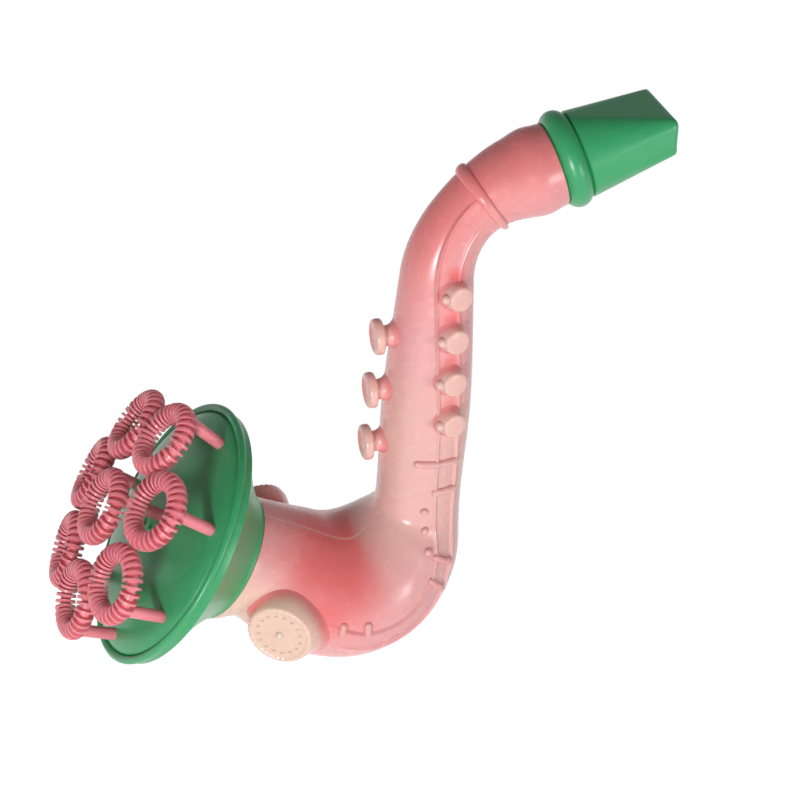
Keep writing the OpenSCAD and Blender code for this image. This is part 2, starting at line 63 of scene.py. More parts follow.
def srgb(red: int, green: int, blue: int) -> Colour:
    """Turns a colour of 0 to 255 a channel into linear light.

    Args:
        red: Red as shown on a screen.
        green: Green as shown on a screen.
        blue: Blue as shown on a screen.

    Returns:
        The colour in linear light.
    """
    def linear(value: int) -> float:
        """Returns one channel in linear light."""
        share = value / 255
        return share / 12.92 if share <= 0.04045 else ((share + 0.055) / 1.055) ** 2.4
    return linear(red), linear(green), linear(blue)


# ---------------------------------------------------------------- modelling by hand


def clear_selection() -> None:
    """Leaves edit mode and deselects every object."""
    if bpy.context.object and bpy.context.object.mode != "OBJECT":
        bpy.ops.object.mode_set(mode="OBJECT")
    bpy.ops.object.select_all(action="DESELECT")


def pick(piece: bpy.types.Object) -> None:
    """Makes a piece the only selected and the active one."""
    clear_selection()
    piece.select_set(True)
    bpy.context.view_layer.objects.active = piece


def seat_ring(piece: bpy.types.Object, ring: Ring) -> None:
    """Moves the selected loop of a piece in edit mode onto a ring's points, by each point's seat number."""
    mesh = bmesh.from_edit_mesh(piece.data)
    seats = mesh.verts.layers.int["seat"]
    for vertex in mesh.verts:
        if vertex.select:
            vertex.co = ring[vertex[seats]]
    bmesh.update_edit_mesh(piece.data, loop_triangles=False)


def select_seats(piece: bpy.types.Object, wanted: Callable[[int], bool]) -> None:
    """Selects the points of a piece in edit mode by the number of their ring.

    Args:
        piece: The piece in edit mode.
        wanted: Says whether a ring number is selected.
    """
    bpy.ops.mesh.select_all(action="DESELECT")
    mesh = bmesh.from_edit_mesh(piece.data)
    rows = mesh.verts.layers.int["row"]
    for vertex in mesh.verts:
        vertex.select = wanted(vertex[rows])
    mesh.select_flush(True)
    bmesh.update_edit_mesh(piece.data, loop_triangles=False)


def draw_out(name: str, rings: Sequence[Ring], ends: Ends) -> bpy.types.Object:
    """Draws a piece out of one edge loop, with one extrusion for each further ring.

    Args:
        name: Name of the piece.
        rings: Rings of equal count, in order along the piece, in metres.
        ends: How the first and last ring are closed.

    Returns:
        The piece, at the origin, with its faces outwards.
    """
    clear_selection()
    bpy.ops.mesh.primitive_circle_add(vertices=len(rings[0]), radius=MM, fill_type="NOTHING")
    piece = bpy.context.object
    piece.name = piece.data.name = name
    bpy.ops.object.mode_set(mode="EDIT")
    mesh = bmesh.from_edit_mesh(piece.data)
    seats, rows = mesh.verts.layers.int.new("seat"), mesh.verts.layers.int.new("row")
    for number, vertex in enumerate(mesh.verts):
        vertex[seats], vertex[rows] = number, 0
    bpy.ops.mesh.select_all(action="SELECT")
    seat_ring(piece, rings[0])
    for number, ring in enumerate(rings[1:], 1):
        bpy.ops.mesh.extrude_region_move()
        mesh = bmesh.from_edit_mesh(piece.data)
        rows = mesh.verts.layers.int["row"]
        for vertex in mesh.verts:
            if vertex.select:
                vertex[rows] = number
        seat_ring(piece, ring)
    last = len(rings) - 1
    if ends is Ends.JOINED:
        select_seats(piece, lambda row: row in (0, last))
        bpy.ops.mesh.bridge_edge_loops()
    for row in {Ends.LAST: (last,), Ends.BOTH: (0, last)}.get(ends, ()):
        select_seats(piece, lambda number, row=row: number == row)
        bpy.ops.mesh.edge_face_add()
    bpy.ops.mesh.select_all(action="SELECT")
    bpy.ops.mesh.normals_make_consistent(inside=False)
    bpy.ops.object.mode_set(mode="OBJECT")
    return piece


def soften(piece: bpy.types.Object, degrees: float = 50.0) -> bpy.types.Object:
    """Shades a piece smooth across edges flatter than the given angle."""
    pick(piece)
    bpy.ops.object.shade_smooth_by_angle(angle=math.radians(degrees))
    return piece


def join(name: str, parts: Sequence[bpy.types.Object]) -> bpy.types.Object:
    """Joins parts of one piece into the first of them.

    Args:
        name: Name of the joined piece.
        parts: The parts, each at the origin.

    Returns:
        The joined piece.
    """
    pick(parts[0])
    for part in parts:
        part.select_set(True)
    bpy.ops.object.join()
    parts[0].name = parts[0].data.name = name
    return parts[0]


def tint(piece: bpy.types.Object, attribute: str, values: Sequence[float]) -> None:
    """Writes one number for each point of a piece, for its material to read.

    Args:
        piece: The piece, in object mode.
        attribute: Name of the attribute.
        values: The numbers, in the order of the points.
    """
    layer = piece.data.attributes.get(attribute) or piece.data.attributes.new(attribute, "FLOAT", "POINT")
    layer.data.foreach_set("value", values)


def ease(share: float) -> float:
    """Returns a share of 0 to 1 with soft ends."""
    share = min(1.0, max(0.0, share))
    return share * share * (3 - 2 * share)


def between(value: float, low: float, high: float) -> float:
    """Returns how far a value has come from low to high, from 0 to 1 with soft ends."""
    return ease((value - low) / (high - low))


def circle_angles(count: int) -> list[float]:
    """Returns equal angles all round, in radians."""
    return [2 * math.pi * k / count for k in range(count)]


@dataclass(frozen=True)
class Axis:
    """A place with three directions: x and y across, z along an axis."""

    at: Vector
    x: Vector
    y: Vector
    z: Vector

    def point(self, x: float, y: float, z: float) -> Vector:
        """Returns a point given in millimetres along the three directions."""
        return (self.at + x * self.x + y * self.y + z * self.z) * MM

    def shifted(self, x: float, y: float, z: float) -> "Axis":
        """Returns the same directions at a point given in millimetres along them."""
        return Axis(self.at + x * self.x + y * self.y + z * self.z, self.x, self.y, self.z)

    def ring(self, radius: float, height: float, count: int) -> Ring:
        """Returns a round ring square to the axis, sizes in millimetres."""
        return [self.point(radius * math.cos(a), radius * math.sin(a), height) for a in circle_angles(count)]

    def turned(self, profile: Sequence[tuple[float, float]], count: int) -> list[Ring]:
        """Returns the rings of a turned profile of (radius, height) pairs."""
        return [self.ring(radius, height, count) for radius, height in profile]


# ---------------------------------------------------------------- the tube's own measures


@dataclass(frozen=True)
class Knots:
    """A smooth run of values through knots of (station, value), flat at both ends."""

    pairs: tuple[tuple[float, float], ...]

    def slope(self, i: int) -> float:
        """Returns the slope at a knot."""
        if i in (0, len(self.pairs) - 1):
            return 0.0
        (a, low), (b, high) = self.pairs[i - 1], self.pairs[i + 1]
        return (high - low) / (b - a)

    def at(self, s: float) -> float:
        """Returns the value at a station."""
        i = 0
        while i < len(self.pairs) - 2 and s >= self.pairs[i + 1][0]:
            i += 1
        (a, low), (b, high) = self.pairs[i], self.pairs[i + 1]
        w = b - a
        t = min(1.0, max(0.0, (s - a) / w))
        return (low * (1 + 2 * t) * (1 - t) ** 2 + w * self.slope(i) * t * (1 - t) ** 2
                + high * t * t * (3 - 2 * t) + w * self.slope(i + 1) * t * t * (t - 1))


class Spot(NamedTuple):
    """Where a point lies on the tube: station, height above the skin, turn in degrees from the near side."""

    s: float
    height: float
    turn: float

    @property
    def inside(self) -> float:
        """Share towards the inside of the bow, from -1 to 1."""
        return -math.sin(math.radians(self.turn))


@dataclass(frozen=True)
class FoldShade:
    """A painted red shadow where a raised form meets the skin: its middle in millimetres, its reach and its
    strength.
    """

    at: Vector
    reach: float
    strength: float

    def flush(self, point: Vector) -> float:
        """Returns how much painted red shade the shadow puts on a point given in metres."""
        return self.strength * ease(1 - (point / MM - self.at).length / self.reach)


@dataclass(frozen=True)
class TubePath:
    """Centreline and round sections of the blown tube, in millimetres, in the part's frame."""

    neck_heading: float = -33.0
    tube_heading: float = 85.6
    cup_heading: float = 16.5
    neck_run: float = 25.0
    bow_radius: float = 30.0
    tube_run: float = 90.0
    crook_radius: float = 37.0
    cup_run: float = 13.5
    inner_radius: float = 12.0
    neck_rise: float = 6.7
    left_share: float = 0.14
    first_share: float = 0.1
    ring_share: float = 0.73
    origin: tuple[float, float, float] = (-7.94456, 0.0, 52.2231)
    radius: Knots = Knots((
        (0, 22.54), (12.5, 22), (25, 23.4), (46.73, 22.6), (61.02, 21.6), (74.68, 18.6), (87.1, 15),
        (132.1, 15.2), (177.1, 12.5), (199.41, 11.2), (209.67, 11.8), (221.72, 13.8), (228.47, 15),
        (235.22, 14.2)))
    wide: Knots = Knots((
        (0, 1), (25, 1.1925), (46.73, 1.35), (61.02, 1.301), (74.68, 1.1505), (87.1, 1), (235.22, 1)))
    lift: Knots = Knots((
        (0, 0.9), (7, 5.1), (14, 4.59), (21, 3.366), (30, 2.856), (46.75, 0), (235.22, 0)))
    band: Knots = Knots(((31.2, 8), (46.73, 15), (87.1, 23), (177.1, 2), (209.67, -12)))

    @property
    def s_bow(self) -> float:
        """Station where the bow begins."""
        return self.neck_run

    @property
    def s_tube(self) -> float:
        """Station where the straight tube begins."""
        return self.s_bow + math.radians(self.tube_heading - self.neck_heading) * self.bow_radius

    @property
    def s_left(self) -> float:
        """Station where the soft curve on the inside of the bow meets the tube's left line."""
        return self.s_tube + self.left_share * self.tube_run

    @property
    def s_crook(self) -> float:
        """Station where the crook begins."""
        return self.s_tube + self.tube_run

    @property
    def s_cup(self) -> float:
        """Station where the cup begins."""
        return self.s_crook + math.radians(self.tube_heading - self.cup_heading) * self.crook_radius

    @property
    def s_end(self) -> float:
        """Station where the tube ends."""
        return self.s_cup + self.cup_run

    @property
    def s_ring(self) -> float:
        """Station of the raised neck ring."""
        return self.s_crook + self.ring_share * (self.s_cup - self.s_crook)

    @staticmethod
    def along(heading: float) -> Vector:
        """Returns the direction of a heading in degrees."""
        return Vector((math.cos(math.radians(heading)), 0, math.sin(math.radians(heading))))

    @staticmethod
    def outward(heading: float) -> Vector:
        """Returns the direction square to a heading, to the outside of the bow."""
        return Vector((math.sin(math.radians(heading)), 0, -math.cos(math.radians(heading))))

    def heading(self, s: float) -> float:
        """Returns the heading at a station, in degrees."""
        if s < self.s_bow:
            return self.neck_heading
        if s < self.s_tube:
            return self.neck_heading + math.degrees((s - self.s_bow) / self.bow_radius)
        if s < self.s_crook:
            return self.tube_heading
        if s < self.s_cup:
            return self.tube_heading - math.degrees((s - self.s_crook) / self.crook_radius)
        return self.cup_heading

    def centre(self, s: float) -> Vector:
        """Returns the middle of the section at a station."""
        heading = self.heading(s)
        foot = self.bow_radius * self.outward(self.tube_heading)
        head = foot + self.tube_run * self.along(self.tube_heading)
        turn = head + self.crook_radius * self.outward(self.tube_heading)
        if s < self.s_bow:
            line = self.bow_radius * self.outward(heading) - (self.s_bow - s) * self.along(heading)
        elif s < self.s_tube:
            line = self.bow_radius * self.outward(heading)
        elif s < self.s_crook:
            line = foot + (s - self.s_tube) * self.along(heading)
        elif s < self.s_cup:
            line = turn - self.crook_radius * self.outward(heading)
        else:
            line = turn - self.crook_radius * self.outward(heading) + (s - self.s_cup) * self.along(heading)
        return line - self.lift.at(s) * self.outward(heading) + Vector(self.origin)

    def rim(self, s: float, side: float) -> Vector:
        """Returns the round section's point on the outside (1) or the inside (-1) of the bow."""
        return self.centre(s) + side * self.radius.at(s) * self.outward(self.heading(s))

    @cached_property
    def inner_runs(self) -> tuple[float, float, float]:
        """Lengths of the curve inside the bow: along the neck, round the arc and up the tube."""
        top, left = self.along(self.neck_heading + self.neck_rise), self.along(self.tube_heading)
        gap = self.rim(self.s_left, -1) - self.rim(0, -1)
        turn = math.radians(self.tube_heading - self.neck_heading - self.neck_rise)
        tangent, sine = self.inner_radius * math.tan(turn / 2), left.cross(top).y
        return left.cross(gap).y / sine - tangent, turn * self.inner_radius, gap.cross(top).y / sine - tangent

    @cached_property
    def inner_knots(self) -> Knots:
        """Run along the curve inside the bow at a station."""
        neck, arc, left = self.inner_runs
        bow, end = self.s_tube - self.s_bow, neck + arc + left
        return Knots((
            (-self.s_bow, -self.s_bow), (0, 0), (self.s_bow / 2, self.s_bow / 2),
            (self.s_bow + self.first_share * bow, neck), (self.s_bow + bow / 2, neck + arc / 2),
            (self.s_left - left, neck + arc), (self.s_left, end), (self.s_left + self.s_bow, end + self.s_bow)))

    def inner(self, s: float) -> Vector:
        """Returns the skin's point on the inside of the bow, where the mould has one soft curve."""
        if s >= self.s_left:
            return self.rim(s, -1)
        neck, arc, left = self.inner_runs
        run, heading = self.inner_knots.at(s), self.neck_heading + self.neck_rise
        start = self.rim(0, -1)
        if run < neck:
            return start + run * self.along(heading)
        if run < neck + arc:
            middle = start + neck * self.along(heading) - self.inner_radius * self.outward(heading)
            turned = heading + math.degrees((run - neck) / self.inner_radius)
            return middle + self.inner_radius * self.outward(turned)
        return self.rim(self.s_left, -1) - (neck + arc + left - run) * self.along(self.tube_heading)

    def section(self, s: float) -> tuple[Vector, Vector]:
        """Returns a section's middle and the reach from it to the outside of the bow."""
        inner, outer = self.inner(s), self.rim(s, 1)
        return (inner + outer) / 2, (outer - inner) / 2

    def skin(self, s: float, degrees: float, radius: float) -> Vector:
        """Returns the point at a station, an angle from the near side and a radius.

        Args:
            s: Station along the tube.
            degrees: Angle from the near side towards the outside of the bow.
            radius: Distance from the middle, before the section's widening.

        Returns:
            The point in millimetres.
        """
        a = math.radians(degrees)
        middle, reach = self.section(s)
        grown = 1 + (radius - self.radius.at(s)) / reach.length
        across = Vector((0, -self.wide.at(s) * radius * math.cos(a), 0))
        return middle + grown * math.sin(a) * reach + across

    def on_skin(self, s: float, degrees: float) -> Axis:
        """Returns a place on the skin: x along the tube, y round it, z leaving it."""
        step = 0.05
        at = self.skin(s, degrees, self.radius.at(s))
        x = (self.skin(s + step, degrees, self.radius.at(s + step)) - at).normalized()
        y = (self.skin(s, degrees - step, self.radius.at(s)) - at).normalized()
        z = x.cross(y).normalized()
        if z.dot(at - self.centre(s)) < 0:
            z = -z
        return Axis(at, x, z.cross(x).normalized(), z)

    def at_bell(self) -> Axis:
        """Returns the bell's axis: z out of the bell, x up its face."""
        heading = self.neck_heading
        return Axis(self.centre(0), -self.outward(heading), ACROSS, -self.along(heading))

    def at_mouth(self) -> Axis:
        """Returns the mouthpiece's axis: z out of the tube, x down, y across."""
        heading = self.cup_heading
        return Axis(self.centre(self.s_end), self.outward(heading), ACROSS, self.along(heading))

    @cached_property
    def sections(self) -> list[tuple[Vector, Vector]]:
        """The tube's sections, one for each millimetre."""
        return [self.section(s) for s in range(int(self.s_end) + 1)]

    @cached_property
    def middles(self) -> KDTree:
        """Search tree of the middles of those sections."""
        tree = KDTree(len(self.sections))
        for s, (middle, _) in enumerate(self.sections):
            tree.insert(middle, s)
        tree.balance()
        return tree

    def nearest(self, point: Vector) -> Spot:
        """Finds where a point lies on the tube.

        Args:
            point: The point in metres.

        Returns:
            Its place on the tube.
        """
        middle, s, _ = self.middles.find(point / MM)
        off, reach = point / MM - middle, self.sections[s][1]
        out, near = off.dot(reach) * self.radius.at(s) / reach.length_squared, -off.y / self.wide.at(s)
        return Spot(s, math.hypot(out, near) - self.radius.at(s), math.degrees(math.atan2(out, near)))


PATH = TubePath()


# ---------------------------------------------------------------- finishes


def group_socket(tree: bpy.types.NodeTree, name: str, kind: str, direction: str, value: float = 0.0) -> None:
    """Adds a named socket to a node group.

    Args:
        tree: The group.
        name: Name of the socket.
        kind: Type of the socket.
        direction: INPUT or OUTPUT.
        value: Default of a number.
    """
    socket = tree.interface.new_socket(name=name, in_out=direction, socket_type=kind)
    if kind == "NodeSocketFloat":
        socket.default_value = value


class MouldedSkin:
    """Node group of what every moulded piece shows: cloudy colour, fine orange peel, rub marks."""

    name = "moulded_skin"

    @classmethod
    def tree(cls) -> bpy.types.NodeTree:
        """Returns the group, built on first use."""
        return bpy.data.node_groups.get(cls.name) or cls.build()

    @classmethod
    def build(cls) -> bpy.types.NodeTree:
        """Builds the group.

        Returns:
            A group with Cloud, Rub, Speck and Roughness values and a Height.
        """
        tree = bpy.data.node_groups.new(cls.name, "ShaderNodeTree")
        for name, value in (("Cloud Scale", 30.0), ("Peel Scale", 900.0), ("Rub Scale", 260.0),
                            ("Speck Scale", 70.0), ("Roughness", 0.3), ("Roughness Spread", 0.1)):
            group_socket(tree, name, "NodeSocketFloat", "INPUT", value)
        for name in ("Cloud", "Rub", "Speck", "Roughness", "Height"):
            group_socket(tree, name, "NodeSocketFloat", "OUTPUT")
        nodes, links = tree.nodes, tree.links
        start, end = nodes.new("NodeGroupInput"), nodes.new("NodeGroupOutput")
        coords = nodes.new("ShaderNodeTexCoord").outputs["Object"]

        def noise(scale: str, detail: float) -> bpy.types.NodeSocket:
            """Returns a noise's value at a scale of the group."""
            node = nodes.new("ShaderNodeTexNoise")
            node.inputs["Detail"].default_value = detail
            links.new(coords, node.inputs["Vector"])
            links.new(start.outputs[scale], node.inputs["Scale"])
            return node.outputs["Fac"]

        def ramp(value: bpy.types.NodeSocket, low: float, high: float) -> bpy.types.NodeSocket:
            """Returns a value spread from low..high to 0..1."""
            node = nodes.new("ShaderNodeMapRange")
            node.inputs["From Min"].default_value, node.inputs["From Max"].default_value = low, high
            links.new(value, node.inputs["Value"])
            return node.outputs["Result"]

        cloud = ramp(noise("Cloud Scale", 1.0), 0.25, 0.75)
        rub = ramp(noise("Rub Scale", 3.0), 0.45, 0.85)
        cells = nodes.new("ShaderNodeTexVoronoi")
        links.new(coords, cells.inputs["Vector"])
        links.new(start.outputs["Speck Scale"], cells.inputs["Scale"])
        few = nodes.new("ShaderNodeSeparateColor")
        links.new(cells.outputs["Color"], few.inputs[0])
        speck = nodes.new("ShaderNodeMath")
        speck.operation = "MULTIPLY"
        links.new(ramp(cells.outputs["Distance"], 0.03, 0.02), speck.inputs[0])
        links.new(ramp(few.outputs[0], 0.86, 0.9), speck.inputs[1])
        links.new(speck.outputs[0], end.inputs["Speck"])
        spread = nodes.new("ShaderNodeMath")
        spread.operation = "MULTIPLY_ADD"
        links.new(rub, spread.inputs[0])
        links.new(start.outputs["Roughness Spread"], spread.inputs[1])
        links.new(start.outputs["Roughness"], spread.inputs[2])
        links.new(cloud, end.inputs["Cloud"])
        links.new(rub, end.inputs["Rub"])
        links.new(spread.outputs[0], end.inputs["Roughness"])
        links.new(noise("Peel Scale", 3.0), end.inputs["Height"])
        return tree


@dataclass(frozen=True)
class MouldedPlastic:
    """A glossy moulded plastic with a cloudy colour and a slight orange peel."""

    name: str
    colour: Colour
    cloud_colour: Colour
    rub_colour: Colour
    roughness: float = 0.3
    peel: float = 0.05
    translucency: float = 0.15
    glow: Colour = (1.0, 0.4, 0.3)
    depth: float = 2.0
    cloud_scale: float = 30.0
    speck_colour: Colour = (0.05, 0.04, 0.04)
    rub_share: float = 0.25
    speck_share: float = 0.6
    peel_depth: float = 0.2
    refraction: float = 1.5

    def start(self) -> tuple[bpy.types.Material, bpy.types.Node, bpy.types.NodeSocket]:
        """Sets up the material's shader and its moulded skin.

        Returns:
            The material, its shader and the mixed colour.
        """
        material = bpy.data.materials.new(self.name)
        material.use_nodes = True
        nodes, links = material.node_tree.nodes, material.node_tree.links
        shader = nodes["Principled BSDF"]
        skin = nodes.new("ShaderNodeGroup")
        skin.node_tree = MouldedSkin.tree()
        skin.inputs["Roughness"].default_value = self.roughness
        skin.inputs["Cloud Scale"].default_value = self.cloud_scale
        cloud = mix_colour(material, skin.outputs["Cloud"], self.colour, self.cloud_colour)
        rub = scaled(material, skin.outputs["Rub"], self.rub_share)
        rubbed = mix_colour(material, rub, cloud, self.rub_colour)
        speck = scaled(material, skin.outputs["Speck"], self.speck_share)
        specked = mix_colour(material, speck, rubbed, self.speck_colour)
        links.new(skin.outputs["Roughness"], shader.inputs["Roughness"])
        bump = nodes.new("ShaderNodeBump")
        bump.inputs["Strength"].default_value = self.peel
        bump.inputs["Distance"].default_value = self.peel_depth * MM
        links.new(skin.outputs["Height"], bump.inputs["Height"])
        links.new(bump.outputs["Normal"], shader.inputs["Normal"])
        shader.inputs["Subsurface Weight"].default_value = self.translucency
        shader.inputs["Subsurface Radius"].default_value = self.glow
        shader.inputs["Subsurface Scale"].default_value = self.depth * MM
        shader.inputs["IOR"].default_value = self.refraction
        return material, shader, specked

    def material(self) -> bpy.types.Material:
        """Returns the finished material."""
        material, shader, colour = self.start()
        material.node_tree.links.new(colour, shader.inputs["Base Color"])
        return material


@dataclass(frozen=True)
class BlownPlastic(MouldedPlastic):
    """A milky blown plastic with painted light and shade: a pale cream where light falls, a painted red shade in
    folds and on shaded sides.
    """

    # Colour of the painted light: a pale cream where light falls on the skin.
    painted_light: Colour = (1.0, 0.8, 0.7)
    # Colour of the painted red shade in folds, creases and on shaded sides.
    flush: Colour = (0.8, 0.2, 0.2)
    seam: Colour = (1.0, 0.8, 0.75)
    seam_half_width: float = 0.22
    seam_share: float = 0.55

    def material(self) -> bpy.types.Material:
        """Returns the finished material, which reads the painted light, the painted red shade and the seam from
        the piece's attributes.
        """
        material, shader, colour = self.start()
        # Painted shade: a deep red mixed in where folds, creases and shaded sides lie in shade.
        colour = mix_colour(material, attribute_of(material, "flush"), colour, self.flush)
        # Painted light: a pale cream mixed in where light falls on the skin.
        colour = mix_colour(material, attribute_of(material, "painted_light"), colour, self.painted_light)
        colour = mix_colour(material, self.seam_mask(material), colour, self.seam)
        material.node_tree.links.new(colour, shader.inputs["Base Color"])
        return material

    def seam_mask(self, material: bpy.types.Material) -> bpy.types.NodeSocket:
        """Returns a mask of the thin parting line, from the attribute seam in millimetres."""
        nodes, links = material.node_tree.nodes, material.node_tree.links
        off = nodes.new("ShaderNodeMath")
        off.operation = "ABSOLUTE"
        links.new(attribute_of(material, "seam"), off.inputs[0])
        band = nodes.new("ShaderNodeMapRange")
        band.inputs["From Min"].default_value = 2 * self.seam_half_width
        band.inputs["From Max"].default_value = self.seam_half_width
        band.inputs["To Max"].default_value = self.seam_share
        links.new(off.outputs[0], band.inputs["Value"])
        return band.outputs["Result"]


def mix_colour(material: bpy.types.Material, share: bpy.types.NodeSocket, first: bpy.types.NodeSocket | Colour,
               second: bpy.types.NodeSocket | Colour) -> bpy.types.NodeSocket:
    """Mixes two colours by a share.

    Args:
        material: The material that gets the node.
        share: Share of the second colour.
        first: A colour or the socket of one.
        second: A colour or the socket of one.

    Returns:
        The mixed colour.
    """
    links = material.node_tree.links
    node = material.node_tree.nodes.new("ShaderNodeMix")
    node.data_type = "RGBA"
    links.new(share, node.inputs["Factor"])
    for socket, colour in ((node.inputs[6], first), (node.inputs[7], second)):
        if isinstance(colour, bpy.types.NodeSocket):
            links.new(colour, socket)
        else:
            socket.default_value = (*colour, 1.0)
    return node.outputs[2]


def scaled(material: bpy.types.Material, value: bpy.types.NodeSocket, share: float) -> bpy.types.NodeSocket:
    """Returns a value times a share."""
    node = material.node_tree.nodes.new("ShaderNodeMath")
    node.operation = "MULTIPLY"
    node.inputs[1].default_value = share
    material.node_tree.links.new(value, node.inputs[0])
    return node.outputs[0]


def attribute_of(material: bpy.types.Material, name: str) -> bpy.types.NodeSocket:
    """Returns the value of a piece's own attribute."""
    node = material.node_tree.nodes.new("ShaderNodeAttribute")
    node.attribute_name = name
    return node.outputs["Fac"]


# The pink's pale cream colour is painted light, and its deep red colour is painted shade.
PINK = BlownPlastic(
    "pink_blown_plastic", srgb(236, 172, 172), srgb(232, 164, 166), srgb(241, 186, 183), roughness=0.24,
    peel=0.06, translucency=0.3, glow=(1.0, 0.35, 0.3), depth=4.0, cloud_scale=22.0,
    painted_light=srgb(240, 206, 188), flush=srgb(238, 104, 104), seam=srgb(250, 200, 194))
GREEN = MouldedPlastic(
    "green_moulded_plastic", srgb(58, 166, 106), srgb(50, 156, 98), srgb(84, 180, 128), roughness=0.3,
    peel=0.05, translucency=0.12, glow=(0.25, 1.0, 0.5), depth=1.5)
ROSE = MouldedPlastic(
    "rose_moulded_plastic", srgb(242, 146, 156), srgb(234, 130, 142), srgb(248, 176, 182), roughness=0.32,
    peel=0.04, translucency=0.4, glow=(1.0, 0.25, 0.3), depth=2.0, cloud_scale=60.0)


def dress(piece: bpy.types.Object, material: bpy.types.Material) -> None:
    """Gives a piece one material in its only slot."""
    piece.data.materials.clear()
    piece.data.materials.append(material)


def seat(piece: bpy.types.Object, body: str, slot: str, *nodes: str) -> bpy.types.Object:
    """Attaches a piece to a body, and hides the solids that it stands for.

    Args:
        piece: The finished piece.
        body: The body that it rides on.
        slot: The record's material slot; not used.
        nodes: The solids that it stands for.

    Returns:
        The piece.
    """
    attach(piece, body)
    if nodes:
        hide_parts(*nodes)
    LOG.info("%s: %d faces on %s", piece.name, len(piece.data.polygons), body)
    return piece


# ---------------------------------------------------------------- the blown body


@dataclass
class BodyTube:
    """The hollow blown tube with its two rails, its neck ring and the pipes at both ends."""

    wall: float = 2.0
    rail_gap: float = 3.75
    rail_height: float = 0.9
    rail_half_width: float = 0.85
    rail_fade: float = 7.5
    neck_ring_height: float = 1.4
    neck_ring_width: float = 3.4
    rail_start: float = 31.2
    seam_turn: float = 75.0
    journal: tuple[float, float, float] = (21.44, 19.2, 8.0)
    spigot: tuple[float, float, float] = (12.9, 10.4, 12.0)
    chamfer: float = 0.6
    end_round: tuple[float, float] = (0.4, 0.25)
    cavity_rings: int = 41
    plain_points: int = 66
    step: float = 1.5

    def fade(self, s: float) -> float:
        """Returns how far a rail stands at a station, as a share."""
        return ease((s - self.rail_start) / self.rail_fade) * ease((PATH.s_ring - s) / self.rail_fade)

    def neck_ring(self, s: float) -> float:
        """Returns the height of the neck ring at a station."""
        return self.neck_ring_height * math.sqrt(max(0.0, 1 - (2 * (s - PATH.s_ring) / self.neck_ring_width) ** 2))

    def angles(self, s: float) -> list[tuple[float, float]]:
        """Returns the section's points at a station.

        Args:
            s: Station along the tube.

        Returns:
            Pairs of an angle in degrees and the share of a rail's height there.
        """
        to_degrees = math.degrees(1 / PATH.radius.at(s))
        middle, gap, half = PATH.band.at(s), self.rail_gap * to_degrees, self.rail_half_width * to_degrees
        ridge = [(k, (1 - min(1, k * k)) ** 2) for k in (-1.5, -1, -0.7, -0.4, 0, 0.4, 0.7, 1, 1.5)]
        points = [(middle - gap + k * half, h) for k, h in ridge]
        inner = 2 * (gap - 1.5 * half)
        points += [(middle - inner / 2 + k * inner / 5, 0.0) for k in range(1, 5)]
        points += [(middle + gap + k * half, h) for k, h in ridge]
        reach = gap + 1.5 * half
        rest = (360 - 2 * reach) / (self.plain_points + 1)
        return points + [(middle + reach + k * rest, 0.0) for k in range(1, self.plain_points + 1)]

    def skin_ring(self, s: float) -> Ring:
        """Returns the outer ring at a station."""
        radius = PATH.radius.at(s) + self.neck_ring(s)
        height = self.rail_height * self.fade(s)
        return [PATH.skin(s, degrees, radius + height * share) * MM for degrees, share in self.angles(s)]

    def cavity_ring(self, s: float) -> Ring:
        """Returns the ring inside the wall at a station."""
        radius = PATH.radius.at(s) - self.wall
        return [PATH.skin(s, degrees, radius) * MM for degrees, _ in self.angles(s)]

    def pipe_ring(self, s: float, radius: float, offset: float) -> Ring:
        """Returns a round ring off one end of the tube.

        Args:
            s: Station of the end.
            radius: Radius of the ring.
            offset: Distance from the end along the path, less than zero before its start.

        Returns:
            The ring's points.
        """
        move = offset * PATH.along(PATH.heading(s))
        return [(PATH.skin(s, degrees, radius) + move) * MM for degrees, _ in self.angles(s)]

    def stations(self) -> list[float]:
        """Returns the stations of the outer rings, closer across the neck ring."""
        half = self.neck_ring_width / 2
        low, high = PATH.s_ring - half, PATH.s_ring + half
        before = [low * k / round(low / self.step) for k in range(round(low / self.step))]
        bead = [PATH.s_ring - half * math.cos(math.pi * k / 12) for k in range(13)]
        count = round((PATH.s_end - high) / self.step)
        return before + bead + [high + (PATH.s_end - high) * k / count for k in range(1, count + 1)]

    def build(self) -> bpy.types.Object:
        """Draws the body out as one hollow shell.

        Returns:
            The piece.
        """
        spigot_r, spigot_bore, spigot_len = self.spigot
        journal_r, journal_bore, journal_len = self.journal
        end, cut, wall = PATH.s_end, self.chamfer, self.wall
        inset, lip = self.end_round
        rings = [self.skin_ring(s) for s in self.stations()]
        for radius, offset in ((PATH.radius.at(end) - inset, lip), (spigot_r, lip), (spigot_r, spigot_len - cut),
                               (spigot_r - cut, spigot_len), (spigot_bore, spigot_len), (spigot_bore, 0.0)):
            rings.append(self.pipe_ring(end, radius, offset))
        inside = (end - 2 * wall) / (self.cavity_rings - 1)
        rings += [self.cavity_ring(end - wall - inside * k) for k in range(self.cavity_rings)]
        for radius, offset in ((journal_bore, 0.0), (journal_bore, -journal_len), (journal_r - cut, -journal_len),
                               (journal_r, cut - journal_len), (journal_r, -0.05)):
            rings.append(self.pipe_ring(0, radius, offset))
        return soften(draw_out("body_tube", rings, Ends.JOINED), 45)

    @staticmethod
    def flush(spot: Spot) -> float:
        """Returns the painted red shade on the plain skin, where shade falls: inside the bow, on the crook and
        down the right side.
        """
        edge = 0.5 - 0.85 * between(spot.s, 36, 72)
        bow = between(spot.s, 1, 19) * between(spot.s, 96, 60) * between(spot.inside, -edge, 1.2 - edge)
        crook = between(spot.s, 150, 200) * (0.25 + 0.4 * between(spot.inside, -0.3, 0.9))
        right = 0.25 * between(spot.s, 80, 110) * between(spot.inside, -0.35, -0.85)
        return max(0.85 * bow, crook, right)

